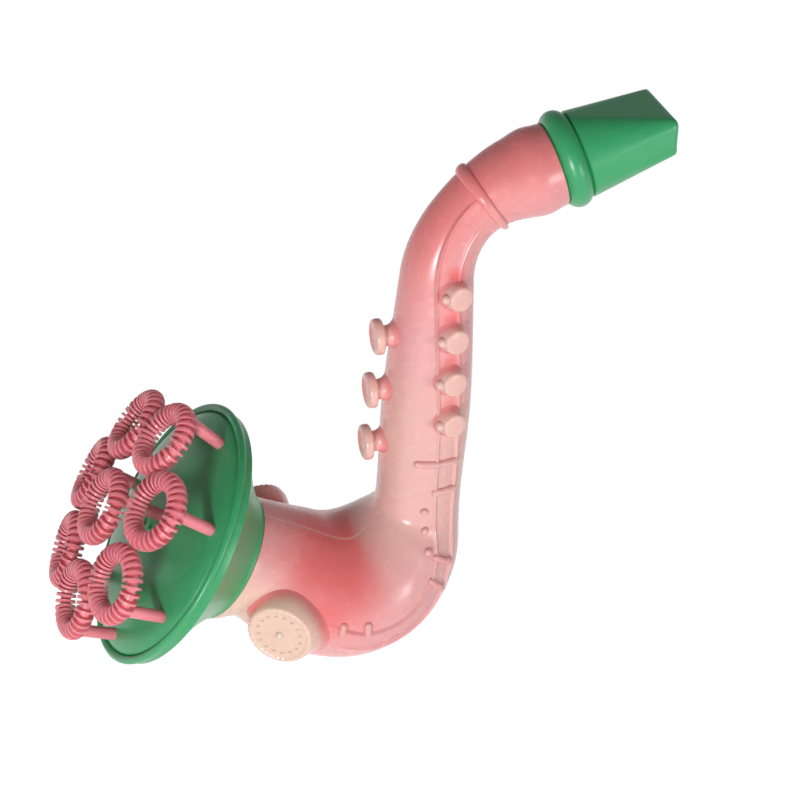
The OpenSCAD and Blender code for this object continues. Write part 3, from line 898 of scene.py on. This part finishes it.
    @staticmethod
    def painted_light(spot: Spot) -> float:
        """Returns the painted light on the plain skin, a pale cream where light falls: round the collar and along
        the straight tube.
        """
        collar = 0.85 * between(spot.s, 19, 2) * between(spot.inside, 0.6, -0.3)
        return collar + 0.35 * between(abs(spot.s - 108), 58, 13)

    def seam(self, spot: Spot) -> float:
        """Returns the distance to the parting line, stretched where the line thins out up the tube."""
        shown = max(0.02, between(spot.s, 92, 80))
        return PATH.radius.at(spot.s) * math.sin(math.radians(spot.turn + self.seam_turn)) / shown

    def dress(self, piece: bpy.types.Object, material: bpy.types.Material, fold_shades: Sequence[FoldShade]) -> None:
        """Paints light, shade and the parting line onto the body, and gives it its plastic.

        Args:
            piece: The body.
            material: The blown plastic.
            fold_shades: Painted red shadows where raised forms leave the skin.
        """
        points = [vertex.co for vertex in piece.data.vertices]
        spots = [PATH.nearest(point) for point in points]
        # Painted red shade inside the bow, on the crook, down the right side and beside the raised forms.
        tint(piece, "flush", [min(0.95, self.flush(spot) + sum(fold.flush(point) for fold in fold_shades))
                              for point, spot in zip(points, spots)])
        # Painted light: paler round the collar and along the straight tube, where light falls.
        tint(piece, "painted_light", [self.painted_light(spot) for spot in spots])
        tint(piece, "seam", [self.seam(spot) for spot in spots])
        dress(piece, material)


@dataclass
class RaisedKeys:
    """Keys, studs, lever and bosses that the blown body carries on its skin."""

    drum_share: float = 0.48
    drum_radius: float = 4.4
    drum_height: float = 5.0
    drum_pitch: float = 15.4
    drum_turn: float = 12.0
    lug_radius: float = 1.7
    stud_radius: float = 6.2
    stud_head: float = 3.4
    stud_neck: float = 3.5
    stud_height: float = 6.8
    stud_pitch: float = 20.2
    boss_radius: float = 11.2
    boss_height: float = 6.4
    boss_places: tuple[tuple[float, float], ...] = ((20.0, 17.0), (14.5, 192.0))
    boss_teeth: int = 34
    tooth_height: float = 0.16
    pip_count: int = 16
    pip_ring: float = 7.6
    pip_radius: float = 0.6
    hub_radius: float = 1.6
    bar_radius: float = 1.4
    lever_length: float = 7.0
    drum_count: int = 4
    stud_count: int = 3
    points: int = 48
    # Height at which each kind's painted light is full, and how pale it gets: drums, studs, small keys, bosses.
    tints: tuple[tuple[float, float], ...] = ((3.8, 0.55), (3.0, 0.5), (1.2, 0.25), (6.2, 0.9))

    @staticmethod
    def on_skin_rings(s: float, degrees: float, points: int, profile: Sequence[tuple[float, float, float]],
                      scallop: Callable[[float, float], float] = lambda angle, height: 0.0) -> list[Ring]:
        """Returns the rings of a turned form whose foot follows the skin.

        Args:
            s: Station of the form.
            degrees: Its angle round the tube.
            points: Number of points of a ring.
            profile: (radius, height, share that the height follows the skin) of each ring.
            scallop: Extra radius at an angle and a height.

        Returns:
            The rings, from the foot up.
        """
        place = PATH.on_skin(s, degrees)
        rings = []
        for radius, height, follow in profile:
            ring = []
            for angle in circle_angles(points):
                reach = radius + scallop(angle, height)
                u, v = reach * math.cos(angle), reach * math.sin(angle)
                flat = place.point(u, v, height)
                if follow:
                    turn = math.degrees(v / (PATH.radius.at(s) * (1 + PATH.wide.at(s)) / 2))
                    low = PATH.on_skin(s + u, degrees - turn)
                    flat = flat.lerp(low.point(0, 0, height), follow)
                ring.append(flat)
            rings.append(ring)
        return rings

    def drum_place(self, number: int) -> tuple[float, float]:
        """Returns a drum's station and its angle round the tube, by its number from below."""
        s = PATH.s_tube + self.drum_share * PATH.tube_run + number * self.drum_pitch
        return s, PATH.band.at(s) + self.drum_turn * (number / (self.drum_count - 1)) ** 2

    def fold_shades(self) -> list[FoldShade]:
        """Returns the painted red shadows above the drums and beside the bosses, where shade falls in the skin's
        folds.
        """
        found = []
        for number in range(self.drum_count):
            place = PATH.on_skin(*self.drum_place(number))
            found.append(FoldShade(place.at + (self.drum_radius + 1.5) * place.x, 5.5, 0.85))
        for s, degrees in self.boss_places:
            place = PATH.on_skin(s, degrees)
            found.append(FoldShade(place.at + 0.9 * self.boss_radius * (place.x + place.y), 12.0, 0.5))
        return found

    def drum(self, number: int) -> bpy.types.Object:
        """Models one key drum with its ball lug.

        Args:
            number: Its number from below.

        Returns:
            The drum.
        """
        s, turn = self.drum_place(number)
        r, h = self.drum_radius, self.drum_height
        profile = [(r + 2.0, -0.25, 1), (r + 1.3, 0.02, 1), (r + 0.8, 0.4, 0.9), (r + 0.5, 1.0, 0.7),
                   (r + 0.35, 1.8, 0.4), (r + 0.2, 2.8, 0.1), (r, h - 1.0, 0), (r - 0.15, h - 0.5, 0),
                   (r - 0.5, h - 0.15, 0), (r - 1.0, h, 0), (r - 2.2, h + 0.08, 0), (0.4, h + 0.12, 0)]
        rings = self.on_skin_rings(s, turn, self.points, profile)
        drum = soften(draw_out(f"drum_{number}", rings, Ends.LAST))
        lug = self.ball("lug", PATH.on_skin(s, turn).shifted(0, r + 0.4, h / 2), self.lug_radius)
        return join(f"drum_{number}", [drum, lug])

    @staticmethod
    def ball(name: str, place: Axis, radius: float) -> bpy.types.Object:
        """Models a ball.

        Args:
            name: Name of the ball.
            place: Its middle and directions.
            radius: Its radius.

        Returns:
            The ball.
        """
        rings = []
        for k in range(1, 16):
            a = math.pi * k / 16
            rings.append([place.point(radius * math.sin(a) * math.cos(b), -radius * math.cos(a),
                                      radius * math.sin(a) * math.sin(b)) for b in circle_angles(24)])
        return soften(draw_out(name, rings, Ends.BOTH), 60)

    def bar(self, name: str, s: float, degrees: float, length: float) -> bpy.types.Object:
        """Models a round-ended bar that lies across the rails.

        Args:
            name: Name of the bar.
            s: Its station.
            degrees: Its angle round the tube.
            length: Length between the middles of its ends.

        Returns:
            The bar.
        """
        r = self.bar_radius
        rows = [(-length / 2 - r * math.cos(a), r * math.sin(a)) for a in (0.15, 0.4, 0.8, 1.2)]
        rows += [(length * (k / 8 - 0.5), r) for k in range(9)]
        rows += [(length / 2 + r * math.cos(a), r * math.sin(a)) for a in (1.2, 0.8, 0.4, 0.15)]
        rings = []
        for across, radius in rows:
            turn = math.degrees(across / PATH.radius.at(s))
            place = PATH.on_skin(s, degrees - turn)
            rings.append([place.point(radius * math.cos(b), 0, radius * math.sin(b)) for b in circle_angles(20)])
        return soften(draw_out(name, rings, Ends.BOTH), 60)

    def stud(self, number: int) -> bpy.types.Object:
        """Models one mushroom-headed stud on the tube's left side.

        Args:
            number: Its number from below.

        Returns:
            The stud.
        """
        s = PATH.s_tube + PATH.tube_run / 3 + number * self.stud_pitch
        left, up = Vector((-1, 0, 0)), Vector((0, 0, 1))
        place = Axis(PATH.centre(s) + PATH.radius.at(s) * left, up, ACROSS, left)
        r, n, h = self.stud_radius, self.stud_neck, self.stud_height
        low = h - self.stud_head
        profile = [(n + 2.6, -1.4), (n + 1.4, -0.4), (n + 0.7, 0.3), (n + 0.3, 1.0), (n + 0.1, 1.8),
                   (n, low - 0.5), (n + 0.25, low - 0.12), (n + 0.8, low + 0.02), (r - 0.8, low + 0.08),
                   (r - 0.3, low + 0.3), (r, low + 0.8), (r + 0.05, low + 1.7), (r - 0.05, h - 0.9),
                   (r - 0.35, h - 0.35), (r - 0.9, h - 0.05), (r - 1.4, h - 0.12), (r - 1.9, h - 0.45),
                   (r - 2.4, h - 0.72), (r - 3.2, h - 0.8), (0.4, h - 0.8)]
        return soften(draw_out(f"stud_{number}", place.turned(profile, self.points), Ends.LAST), 60)

    def boss(self, s: float, degrees: float) -> list[bpy.types.Object]:
        """Models a round boss on the neck, with a plain ring of pips on its face.

        Args:
            s: Its station.
            degrees: Its angle round the tube.

        Returns:
            The boss and its pips.
        """
        r, h = self.boss_radius, self.boss_height
        profile = [(r + 4.2, -0.6, 1), (r + 3.0, -0.1, 1), (r + 2.2, 0.5, 0.9), (r + 1.6, 1.4, 0.7),
                   (r + 1.1, 2.6, 0.4), (r + 0.7, 4.0, 0.1), (r + 0.35, h - 1.5, 0), (r + 0.2, h - 0.9, 0),
                   (r, h - 0.5, 0), (r - 0.35, h - 0.12, 0), (r - 0.8, h, 0), (r - 1.3, h - 0.05, 0),
                   (r - 1.6, h - 0.35, 0), (r - 2.0, h - 0.45, 0), (r - 5, h - 0.4, 0), (0.5, h - 0.3, 0)]

        def scallop(angle: float, height: float) -> float:
            """Returns the small teeth on the boss's upper edge."""
            return self.tooth_height * math.cos(self.boss_teeth * angle) * between(height, h - 1.0, h - 0.5)

        rings = self.on_skin_rings(s, degrees, 6 * self.boss_teeth, profile, scallop)
        boss = soften(draw_out("boss", rings, Ends.LAST))
        place, ring = PATH.on_skin(s, degrees), self.pip_ring
        pips = [self.ball("pip", place.shifted(ring * math.cos(a), ring * math.sin(a), h - 0.4), self.pip_radius)
                for a in circle_angles(self.pip_count)]
        return [boss, *pips, self.ball("hub", place.shifted(0, 0, h - 0.9), self.hub_radius)]

    def small_keys(self) -> list[bpy.types.Object]:
        """Models the lever, the bars, the beads and the two arches of the band.

        Returns:
            The pieces.
        """
        foot, pitch, gap = PATH.s_tube, self.drum_pitch, BodyTube.rail_gap
        keys = [self.bar("lever", foot + 2 * pitch - self.drum_radius, a, self.lever_length) for a in (-8, 20)]
        for share in (0.98, -0.65, -1.1):
            s = foot + share * pitch
            keys.append(self.bar("bar", s, PATH.band.at(s), 2 * gap))
        for share in (0.5, -0.17, -0.6):
            s = foot + share * pitch
            place = PATH.on_skin(s, PATH.band.at(s) - 2 * math.degrees(gap / PATH.radius.at(s)))
            keys.append(self.ball("bead", place, self.bar_radius))
        end = self.boss_places[0][0] + self.boss_radius
        keys += [self.bar("arch", end + share * self.boss_radius, 0, 2 * self.bar_radius) for share in (0.5, 1.2)]
        return keys

    def build(self) -> list[bpy.types.Object]:
        """Models all raised forms.

        Returns:
            The drums, the studs, the small keys and the bosses, each kind as one piece.
        """
        return [join("key_drums", [self.drum(k) for k in range(self.drum_count)]),
                join("side_studs", [self.stud(k) for k in range(self.stud_count)]),
                join("small_keys", self.small_keys()),
                join("neck_bosses", [part for place in self.boss_places for part in self.boss(*place)])]

    def dress(self, piece: bpy.types.Object, material: bpy.types.Material, rise: float, painted_light: float) -> None:
        """Paints light on a raised form, paler away from the skin, and painted red shade at its foot, and gives it
        the body's plastic.

        Args:
            piece: The raised form.
            material: The blown plastic.
            rise: Height at which the painted light is full.
            painted_light: How pale the painted light makes it there.
        """
        spots = [PATH.nearest(vertex.co) for vertex in piece.data.vertices]
        # Painted shade: the foot of each raised form, its place inside the bow and the far boss turned away from
        # the light get a red shade and less painted light.
        shares = [ease((spot.height - 0.2) / rise) for spot in spots]
        far = [between(abs(spot.turn), 80, 110) for spot in spots]
        tint(piece, "painted_light", [painted_light * share * (1 - 0.7 * back) for share, back in zip(shares, far)])
        tint(piece, "flush", [max(painted_light * 0.75 * (1 - share), 0.7 * BodyTube.flush(spot), 0.6 * back)
                              for share, spot, back in zip(shares, spots, far)])
        tint(piece, "seam", [PATH.radius.at(spot.s) for spot in spots])
        dress(piece, material)


# ---------------------------------------------------------------- mouthpiece, bell and wands


@dataclass
class Mouthpiece:
    """The push-on mouthpiece: a rolled bead, a bore and a flat tip with an air slot."""

    base_radius: float = 15.0
    bead_radius: float = 16.7
    bead_width: float = 8.8
    length: float = 40.7
    tip: tuple[float, float, float] = (12.4, 30.0, 2.4)
    slot: tuple[float, float, float] = (5.4, 21.0, 1.35)
    slant: float = 2.6
    bore: tuple[float, float] = (12.96, 12.3)
    throat: float = 10.4
    bead_turn: float = 68.0
    corner_margin: float = 5.0
    edge_points: int = 10
    corner_points: int = 14

    def section(self, radius: float, flat: tuple[float, float, float], share: float, height: float,
                slant: float) -> Ring:
        """Returns a ring between a circle and a flat oblong.

        Args:
            radius: Radius of the circle.
            flat: Thickness, width and corner radius of the oblong.
            share: Share of the oblong.
            height: Distance along the axis.
            slant: How far the lower side lies back.

        Returns:
            The ring's points.
        """
        thick, wide, corner = flat
        margin = self.corner_margin
        ring = []
        for side in range(4):
            x, y = ((1, 1), (-1, 1), (-1, -1), (1, -1))[side]
            for k in range(self.corner_points):
                part = k / (self.corner_points - 1)
                a = math.radians(90 * (side + part))
                ring.append((90 * side + margin + (90 - 2 * margin) * part,
                             x * (thick / 2 - corner) + corner * math.cos(a),
                             y * (wide / 2 - corner) + corner * math.sin(a)))
            u, v = ((-1, 0), (0, -1), (1, 0), (0, 1))[side]
            _, across, along = ring[-1]
            step = (wide if side % 2 else thick) - 2 * corner
            for k in range(1, self.edge_points + 1):
                part = k / (self.edge_points + 1)
                ring.append((90 * (side + 1) - margin + 2 * margin * part,
                             across + u * step * part, along + v * step * part))
        place = PATH.at_mouth()
        points = []
        for degrees, fx, fy in ring:
            cx, cy = radius * math.cos(math.radians(degrees)), radius * math.sin(math.radians(degrees))
            x, y = cx + share * (fx - cx), cy + share * (fy - cy)
            back = slant * ease((x / (thick / 2) + 1) / 2) * share
            points.append(place.point(x, y, height - back))
        return points

    def build(self) -> bpy.types.Object:
        """Draws the mouthpiece out from its bead to the tip and back through its bore.

        Returns:
            The piece.
        """
        bead, bore, bore_end = self.bead_width / 2, *self.bore
        middle = bead + 0.3
        turn = math.radians(self.bead_turn)

        def round_ring(radius: float, height: float) -> Ring:
            """Returns a round ring, with as many points as the flat ones."""
            return self.section(radius, self.tip, 0, height, 0)

        rings = [round_ring(bore + 0.4, 0.3), round_ring(self.bead_radius - 2.4, 0.3)]
        for k in range(15):
            a = turn * (k / 7 - 1)
            rings.append(round_ring(self.bead_radius - bead + bead * math.cos(a), middle + bead * math.sin(a)))
        start = middle + bead * math.sin(turn) + 0.5
        for k in range(25):
            share = k / 24
            height = start + share * (self.length - 1.0 - start)
            rings.append(self.section(self.base_radius, self.tip, share * 0.985, height, self.slant))
        thick, wide, corner = self.tip
        for inset, height in ((0.25, 0.55), (0.7, 0.2), (1.3, 0.0)):
            oblong = (thick - 2 * inset, wide - 2 * inset, corner - inset)
            rings.append(self.section(self.base_radius, oblong, 1, self.length - height, self.slant))
        slot_t, slot_w, slot_c = self.slot
        mouth = (slot_t + 0.5, slot_w + 0.5, slot_c + 0.2)
        rings.append(self.section(self.throat, mouth, 1, self.length, self.slant))
        for k in range(13):
            share = k / 12
            height = self.length - 0.4 - share * (self.length - 0.4 - bore_end)
            rings.append(self.section(self.throat, self.slot, 1 - share, height, self.slant))
        rings += [round_ring(bore, bore_end), round_ring(bore, 0.7)]
        return soften(draw_out("mouthpiece_shell", rings, Ends.JOINED), 45)


@dataclass
class Bell:
    """The flared bell with its rolled rim."""

    collar_radius: float = 23.0
    collar_length: float = 1.5
    wall: float = 1.5
    rim_radius: float = 47.0
    bead_radius: float = 1.4
    depth: float = 24.2
    seat_radius: float = 44.025
    seat_height: float = 2.6
    ledge: float = 1.6
    sleeve: float = 8.3
    bend: tuple[float, float] = (0.29, 0.47)
    points: int = 160

    def profile(self) -> list[tuple[float, float]]:
        """Returns the bell's turned outline, from the collar out, round the rim and back inside."""
        seat_z = self.depth - self.seat_height
        start = (self.collar_radius, self.collar_length)
        end = (self.seat_radius + self.wall, seat_z - self.wall)
        by = tuple(a + share * (b - a) for a, b, share in zip(start, end, self.bend))
        outer, inner = [], []
        for k in range(25):
            t = k / 24
            point = [(1 - t) ** 2 * a + 2 * t * (1 - t) * b + t * t * c for a, b, c in zip(start, by, end)]
            step = [(1 - t) * (b - a) + t * (c - b) for a, b, c in zip(start, by, end)]
            size = math.hypot(*step)
            outer.append((point[0], point[1]))
            inner.append((point[0] - self.wall * step[1] / size, point[1] + self.wall * step[0] / size))
        inner = [p for p in inner if p[0] < self.seat_radius - self.ledge and p[1] > self.sleeve]
        middle = (self.rim_radius - self.bead_radius, self.depth)
        bead = [(middle[0] + self.bead_radius * math.cos(a), middle[1] + self.bead_radius * math.sin(a))
                for a in (math.radians(-88 + 176 * k / 16) for k in range(17))]
        bore = self.collar_radius - self.wall
        return ([(bore, 0.3), (self.collar_radius - 0.4, 0.3), (self.collar_radius, 0.7)] + outer
                + [(end[0], self.depth - self.bead_radius - 0.3)] + bead
                + [(self.seat_radius + 0.5, self.depth + 0.9), (self.seat_radius, self.depth + 0.3),
                   (self.seat_radius, seat_z), (self.seat_radius - self.ledge, seat_z)]
                + inner[::-1] + [(inner[0][0], self.sleeve), (bore, self.sleeve)])

    def build(self) -> bpy.types.Object:
        """Draws the bell out round its axis.

        Returns:
            The piece.
        """
        return soften(draw_out("bell_shell", PATH.at_bell().turned(self.profile(), self.points), Ends.JOINED), 40)


@dataclass
class DressedSolids:
    """Solids whose own shape is shown, with a finish of their own."""

    plate: str = "bell_face_plate"
    wands: tuple[str, ...] = ("wand_middle", "wand_top", "wand_near_upper", "wand_near_lower", "wand_bottom_near",
                              "wand_bottom_far", "wand_far_lower", "wand_far_upper")

    def dress(self, green: bpy.types.Material, rose: bpy.types.Material) -> None:
        """Gives the face plate and the wands their plastics.

        Args:
            green: The bell's plastic.
            rose: The wands' plastic.
        """
        dress(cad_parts[self.plate], green)
        for wand in self.wands:
            dress(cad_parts[wand], rose)
            LOG.info("%s: dressed", wand)


# ---------------------------------------------------------------- studio


@dataclass
class Studio:
    """A white floor, soft low light from the front, a dim ceiling, and the camera at the photograph's angle."""

    camera_at: tuple[float, float, float] = (-0.1664, -0.6826, 0.5025)
    look_at: tuple[float, float, float] = (0.01646, 0.0, 0.09453)
    lens: float = 108.0
    floor_half: float = 3.0
    floor_lift: float = 0.8
    horizon: float = 0.55
    ceiling: float = 0.2
    lamps: list[tuple[str, tuple[float, float, float], float, float]] = field(default_factory=lambda: [
        ("key", (-0.48, -0.80, 0.14), 0.18, 5.0),
        ("fill", (0.48, -0.78, 0.15), 0.25, 1.8)])

    def floor(self) -> None:
        """Adds the floor, white to the eye and in reflections but for the object's shadow."""
        clear_selection()
        bpy.ops.mesh.primitive_plane_add(size=2 * self.floor_half)
        floor = bpy.context.object
        floor.name = "floor"
        material = bpy.data.materials.new("pale_floor")
        material.use_nodes = True
        nodes, links = material.node_tree.nodes, material.node_tree.links
        shader = nodes["Principled BSDF"]
        shader.inputs["Base Color"].default_value = (0.9, 0.9, 0.9, 1)
        shader.inputs["Roughness"].default_value = 0.9
        shader.inputs["Specular IOR Level"].default_value = 0.1
        shader.inputs["Emission Color"].default_value = (1, 1, 1, 1)
        links.new(self.seen(nodes, links, self.floor_lift), shader.inputs["Emission Strength"])
        dress(floor, material)

    @staticmethod
    def seen(nodes: bpy.types.Nodes, links: bpy.types.NodeLinks, strength: float) -> bpy.types.NodeSocket:
        """Returns a strength for rays that are seen, straight or in a reflection, and none for light.

        Args:
            nodes: Nodes of the material or world.
            links: Links of the material or world.
            strength: The strength for seen rays.

        Returns:
            The strength's socket.
        """
        path = nodes.new("ShaderNodeLightPath")
        value = path.outputs["Is Camera Ray"]
        for name in ("Is Glossy Ray", "Is Transmission Ray"):
            most = nodes.new("ShaderNodeMath")
            most.operation = "MAXIMUM"
            links.new(value, most.inputs[0])
            links.new(path.outputs[name], most.inputs[1])
            value = most.outputs[0]
        part = nodes.new("ShaderNodeMath")
        part.operation = "MULTIPLY"
        part.inputs[1].default_value = strength
        links.new(value, part.inputs[0])
        return part.outputs[0]

    def lights(self) -> None:
        """Adds the lamps, and a world that is bright at the horizon and dim above."""
        world = bpy.context.scene.world or bpy.data.worlds.new("studio")
        bpy.context.scene.world = world
        world.use_nodes = True
        nodes, links = world.node_tree.nodes, world.node_tree.links
        back = nodes["Background"]
        back.inputs["Color"].default_value = (1, 1, 1, 1)
        apart, rise = nodes.new("ShaderNodeSeparateXYZ"), nodes.new("ShaderNodeMapRange")
        links.new(nodes.new("ShaderNodeTexCoord").outputs["Generated"], apart.inputs[0])
        links.new(apart.outputs["Z"], rise.inputs["Value"])
        rise.inputs["From Max"].default_value = 0.7
        rise.inputs["To Min"].default_value, rise.inputs["To Max"].default_value = self.horizon, self.ceiling
        links.new(rise.outputs["Result"], back.inputs["Strength"])
        backdrop = nodes.new("ShaderNodeBackground")
        mix, path = nodes.new("ShaderNodeMixShader"), nodes.new("ShaderNodeLightPath")
        links.new(path.outputs["Is Camera Ray"], mix.inputs["Fac"])
        links.new(back.outputs[0], mix.inputs[1])
        links.new(backdrop.outputs[0], mix.inputs[2])
        links.new(mix.outputs[0], nodes["World Output"].inputs["Surface"])
        for name, place, size, power in self.lamps:
            lamp = bpy.data.lights.new(name, "AREA")
            lamp.size, lamp.energy = size, power
            self.stand(lamp, place)

    def stand(self, data: bpy.types.Light | bpy.types.Camera,
              place: tuple[float, float, float]) -> bpy.types.Object:
        """Sets a lamp or a camera up at a place, turned to the object.

        Args:
            data: The lamp or the camera.
            place: Where it stands, in metres.

        Returns:
            Its object.
        """
        stand = bpy.data.objects.new(data.name, data)
        stand.location = place
        stand.rotation_euler = (Vector(self.look_at) - Vector(place)).to_track_quat("-Z", "Y").to_euler()
        bpy.context.scene.collection.objects.link(stand)
        return stand

    def camera(self) -> None:
        """Adds the camera."""
        lens = bpy.data.cameras.new("camera")
        lens.lens, lens.sensor_width, lens.sensor_fit = self.lens, 36.0, "HORIZONTAL"
        lens.clip_start, lens.clip_end = 0.01, 20
        bpy.context.scene.camera = self.stand(lens, self.camera_at)

    def build(self) -> None:
        """Sets the whole studio up."""
        self.floor()
        self.lights()
        self.camera()
        bpy.context.scene.view_settings.view_transform = "Standard"


def main() -> None:
    """Builds the pieces in order."""
    logging.basicConfig(level=logging.INFO, format="%(message)s")
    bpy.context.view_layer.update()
    Studio().build()
    pink, green, rose = PINK.material(), GREEN.material(), ROSE.material()
    tube = BodyTube()
    body = tube.build()
    keys = RaisedKeys()
    tube.dress(body, pink, keys.fold_shades())
    seat(body, "body", "pink_shell", "body_shell")
    # Each raised form gets painted light on its faces and painted shade at its foot.
    for piece, (rise, painted_light) in zip(keys.build(), keys.tints):
        keys.dress(piece, pink, rise, painted_light)
        seat(piece, "body", "pink_shell")
    mouthpiece = Mouthpiece().build()
    dress(mouthpiece, green)
    seat(mouthpiece, "mouth", "green_plastic", "mouthpiece")
    bell = Bell().build()
    dress(bell, green)
    seat(bell, "bell", "green_plastic", "bell_flare")
    DressedSolids().dress(green, rose)


if __name__ == "__main__":
    main()
